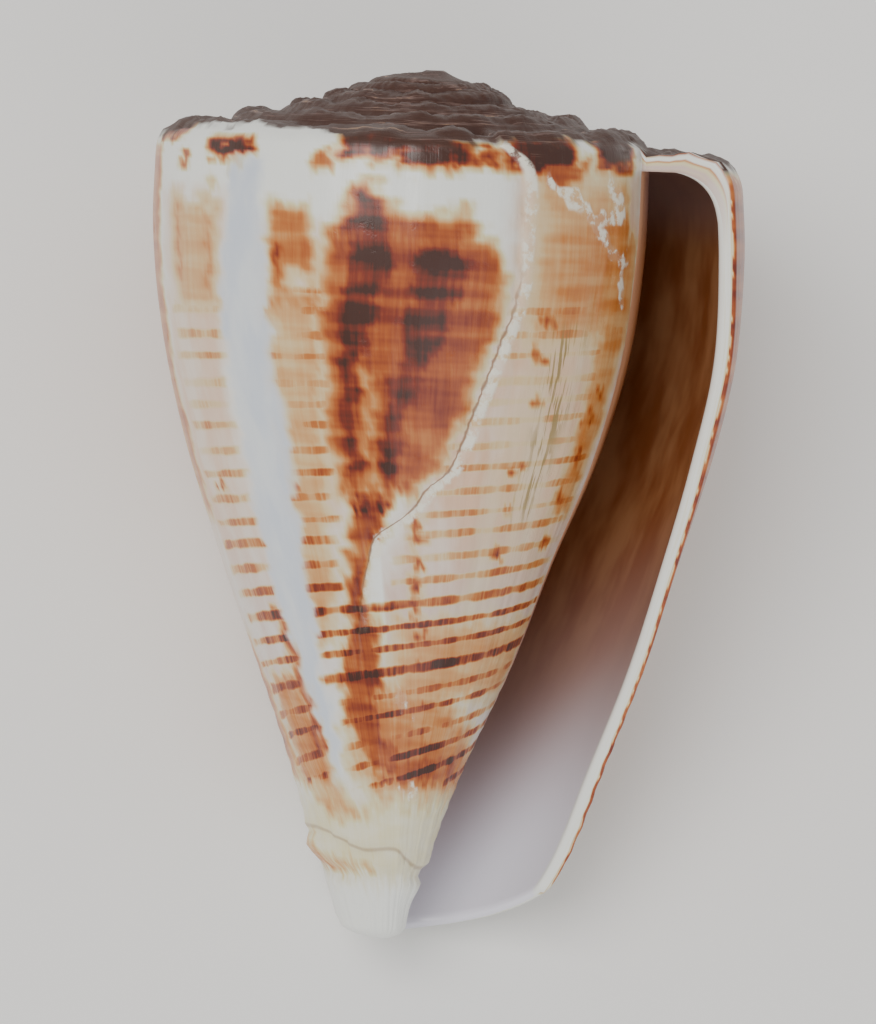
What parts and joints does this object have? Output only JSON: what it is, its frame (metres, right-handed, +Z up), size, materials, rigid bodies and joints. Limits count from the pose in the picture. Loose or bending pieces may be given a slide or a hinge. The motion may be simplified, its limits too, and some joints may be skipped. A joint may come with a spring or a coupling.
{
  "type": "cone shell",
  "caption": "Empty cone-shaped sea snail shell lying on its back, with a low stepped spire and a long narrow mouth that faces up.",
  "frame": {"origin": "centre of the shell's box, on the surface that it lies on", "axes": "+Z up, out of the mouth; +Y along the slot of the mouth, from the narrow front end to the spire; +X from the rolled-up side to the lip"},
  "size_m": [0.0358, 0.0494, 0.032],
  "materials": {
    "shell": "polished natural shell: white and orange-brown with dark brown bands and dashed lines, glossy"
  },
  "bodies": {
    "root": {"cone_shell": "shell"}
  },
  "joints": []
}
